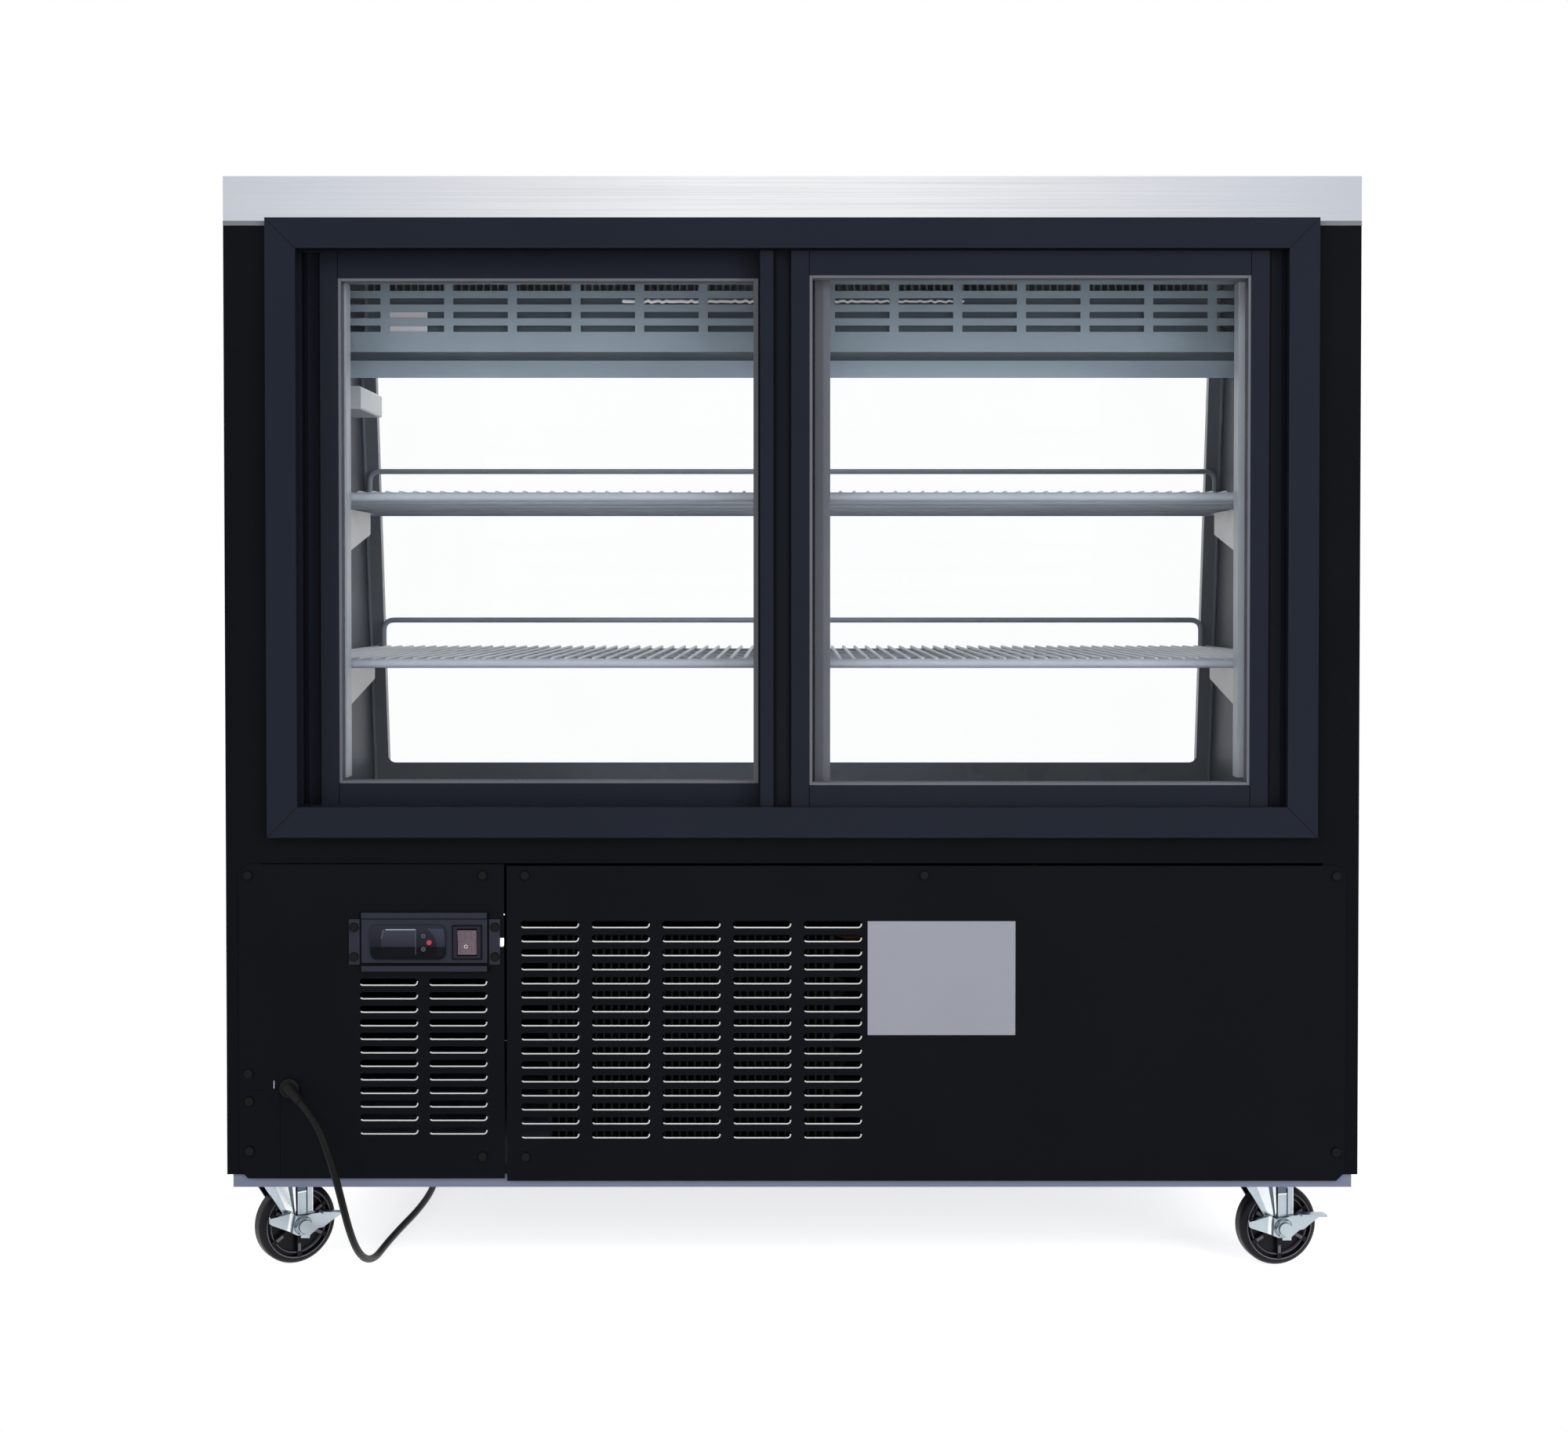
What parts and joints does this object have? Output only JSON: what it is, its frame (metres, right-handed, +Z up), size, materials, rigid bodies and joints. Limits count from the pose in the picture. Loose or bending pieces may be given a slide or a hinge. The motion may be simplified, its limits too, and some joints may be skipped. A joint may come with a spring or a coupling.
{
  "type": "refrigerated display case",
  "caption": "Refrigerated counter display case on castors, with a slanted front glass, two sliding rear doors, wire shelves and its cooling machine under the deck.",
  "frame": {"origin": "on the floor, under the middle of the case's own box, free cord left out", "axes": "+X to the right as the operator sees it, +Y towards the customer, +Z up"},
  "size_m": [1.2, 0.7209, 1.175],
  "materials": {
    "base_grey": "purple-grey paint",
    "black_panel": "black sheet over foam",
    "black_steel": "black powder coat",
    "liner_grey": "dark grey sheet",
    "bumper_rubber": "black rubber",
    "clear_glass": "clear float glass",
    "spacer_black": "black spacer",
    "stainless": "brushed stainless",
    "roof_white": "foam with a grey skin",
    "frame_navy": "dark navy paint on aluminium",
    "evaporator_grey": "blue-grey sheet",
    "fin_aluminium": "bare fins",
    "fan_black": "black plastic",
    "white_enamel": "white enamel",
    "white_plastic": "white plastic",
    "shelf_wire": "light grey coated wire",
    "post_grey": "grey sheet",
    "black_screw": "black oxide",
    "control_grey": "dark grey sheet",
    "controller_black": "glossy black",
    "button_grey": "dark button",
    "button_red": "red button",
    "switch_black": "black plastic",
    "switch_rose": "translucent rose",
    "cord_black": "black cord jacket",
    "plug_black": "moulded plug",
    "zinc": "bright zinc plate",
    "wheel_black": "black wheel",
    "compressor_black": "black enamel",
    "copper": "copper pipe"
  },
  "bodies": {
    "root": {"base_frame": "base_grey", "side_panel_left": "black_panel", "side_panel_right": "black_panel", "chamber_liner": "liner_grey", "rear_frame": "black_steel", "insulated_deck": "black_panel", "front_panel": "black_steel", "bumper": "bumper_rubber", "front_glass_outer": "clear_glass", "front_glass_inner": "clear_glass", "glass_spacer": "spacer_black", "stainless_top": "stainless", "roof_core": "roof_white", "door_frame": "frame_navy", "evaporator_cover": "evaporator_grey", "evaporator_coil": "fin_aluminium", "evaporator_tray": "evaporator_grey", "lamp_strip": "white_enamel", "driver_box": "white_plastic", "shelf_upper": "shelf_wire", "shelf_lower": "shelf_wire", "shelf_posts": "post_grey", "shelf_brackets": "white_enamel", "rear_panel_left": "black_steel", "rear_panel_right": "black_steel", "cord_cover_plate": "black_steel", "panel_screws": "black_screw", "control_plate": "control_grey", "controller": "controller_black", "switch_frame": "switch_black", "cord_gland": "cord_black", "supply_cord": "cord_black", "cord_coil": "cord_black", "plug": "plug_black", "castor_plates": "zinc", "compressor": "compressor_black", "condenser_coil": "fin_aluminium", "condenser_shroud": "black_steel", "refrigerant_pipes": "copper"},
    "door_right": {"door_right_frame": "frame_navy", "door_right_glass": "clear_glass"},
    "door_left": {"door_left_frame": "frame_navy", "door_left_glass": "clear_glass"},
    "evaporator_fan_left": {"evaporator_fan_left": "fan_black"},
    "evaporator_fan_right": {"evaporator_fan_right": "fan_black"},
    "condenser_fan": {"condenser_fan": "fan_black"},
    "switch_rocker": {"switch_rocker": "switch_rose"},
    "button_up": {"button_up": "button_grey"},
    "button_set": {"button_set": "button_red"},
    "button_down": {"button_down": "button_grey"},
    "castor_rear_left": {"castor_fork_rear_left": "zinc"},
    "wheel_rear_left": {"castor_wheel_rear_left": "wheel_black"},
    "pedal_rear_left": {"brake_pedal_rear_left": "zinc"},
    "castor_rear_right": {"castor_fork_rear_right": "zinc"},
    "wheel_rear_right": {"castor_wheel_rear_right": "wheel_black"},
    "pedal_rear_right": {"brake_pedal_rear_right": "zinc"},
    "castor_front_left": {"castor_fork_front_left": "zinc"},
    "wheel_front_left": {"castor_wheel_front_left": "wheel_black"},
    "castor_front_right": {"castor_fork_front_right": "zinc"},
    "wheel_front_right": {"castor_wheel_front_right": "wheel_black"}
  },
  "joints": [
    {"name": "door_right_slide", "type": "slide", "parent": "root", "child": "door_right", "axis": [1, 0, 0], "range_m": [-0.494, 0]},
    {"name": "door_left_slide", "type": "slide", "parent": "root", "child": "door_left", "axis": [1, 0, 0], "range_m": [0, 0.494]},
    {"name": "evaporator_fan_left_spin", "type": "hinge", "parent": "root", "child": "evaporator_fan_left", "pos_m": [-0.23, -0.1277, 1.0555], "axis": [0, 1, 0], "continuous": true},
    {"name": "evaporator_fan_right_spin", "type": "hinge", "parent": "root", "child": "evaporator_fan_right", "pos_m": [0.23, -0.1277, 1.0555], "axis": [0, 1, 0], "continuous": true},
    {"name": "condenser_fan_spin", "type": "hinge", "parent": "root", "child": "condenser_fan", "pos_m": [-0.108, -0.2417, 0.251], "axis": [0, 1, 0], "continuous": true},
    {"name": "switch_rock", "type": "hinge", "parent": "root", "child": "switch_rocker", "pos_m": [-0.3438, -0.3305, 0.3669], "axis": [1, 0, 0], "range_deg": [-12, 0]},
    {"name": "button_up_press", "type": "slide", "parent": "root", "child": "button_up", "axis": [0, 1, 0], "range_m": [0, 0.0005], "stiffness_N_per_m": 1500},
    {"name": "button_set_press", "type": "slide", "parent": "root", "child": "button_set", "axis": [0, 1, 0], "range_m": [0, 0.0005], "stiffness_N_per_m": 1500},
    {"name": "button_down_press", "type": "slide", "parent": "root", "child": "button_down", "axis": [0, 1, 0], "range_m": [0, 0.0005], "stiffness_N_per_m": 1500},
    {"name": "castor_rear_left_swivel", "type": "hinge", "parent": "root", "child": "castor_rear_left", "pos_m": [-0.5574, -0.255, 0.098], "axis": [0, 0, 1], "continuous": true},
    {"name": "wheel_rear_left_roll", "type": "hinge", "parent": "castor_rear_left", "child": "wheel_rear_left", "pos_m": [-0.54788, -0.24769, 0.0445], "axis": [-0.6088, 0.7934, 0], "continuous": true},
    {"name": "pedal_rear_left_press", "type": "hinge", "parent": "castor_rear_left", "child": "pedal_rear_left", "pos_m": [-0.54788, -0.24769, 0.0445], "axis": [-0.6088, 0.7934, 0], "range_deg": [0, 12]},
    {"name": "castor_rear_right_swivel", "type": "hinge", "parent": "root", "child": "castor_rear_right", "pos_m": [0.519, -0.255, 0.098], "axis": [0, 0, 1], "continuous": true},
    {"name": "wheel_rear_right_roll", "type": "hinge", "parent": "castor_rear_right", "child": "wheel_rear_right", "pos_m": [0.53076, -0.25261, 0.0445], "axis": [-0.1994, 0.9799, 0], "continuous": true},
    {"name": "pedal_rear_right_press", "type": "hinge", "parent": "castor_rear_right", "child": "pedal_rear_right", "pos_m": [0.53076, -0.25261, 0.0445], "axis": [-0.1994, 0.9799, 0], "range_deg": [0, 12]},
    {"name": "castor_front_left_swivel", "type": "hinge", "parent": "root", "child": "castor_front_left", "pos_m": [-0.53, 0.255, 0.098], "axis": [0, 0, 1], "continuous": true},
    {"name": "wheel_front_left_roll", "type": "hinge", "parent": "castor_front_left", "child": "wheel_front_left", "pos_m": [-0.54128, 0.2509, 0.0445], "axis": [0.342, -0.9397, 0], "continuous": true},
    {"name": "castor_front_right_swivel", "type": "hinge", "parent": "root", "child": "castor_front_right", "pos_m": [0.53, 0.255, 0.098], "axis": [0, 0, 1], "continuous": true},
    {"name": "wheel_front_right_roll", "type": "hinge", "parent": "castor_front_right", "child": "wheel_front_right", "pos_m": [0.51872, 0.2591, 0.0445], "axis": [-0.342, -0.9397, 0], "continuous": true}
  ]
}
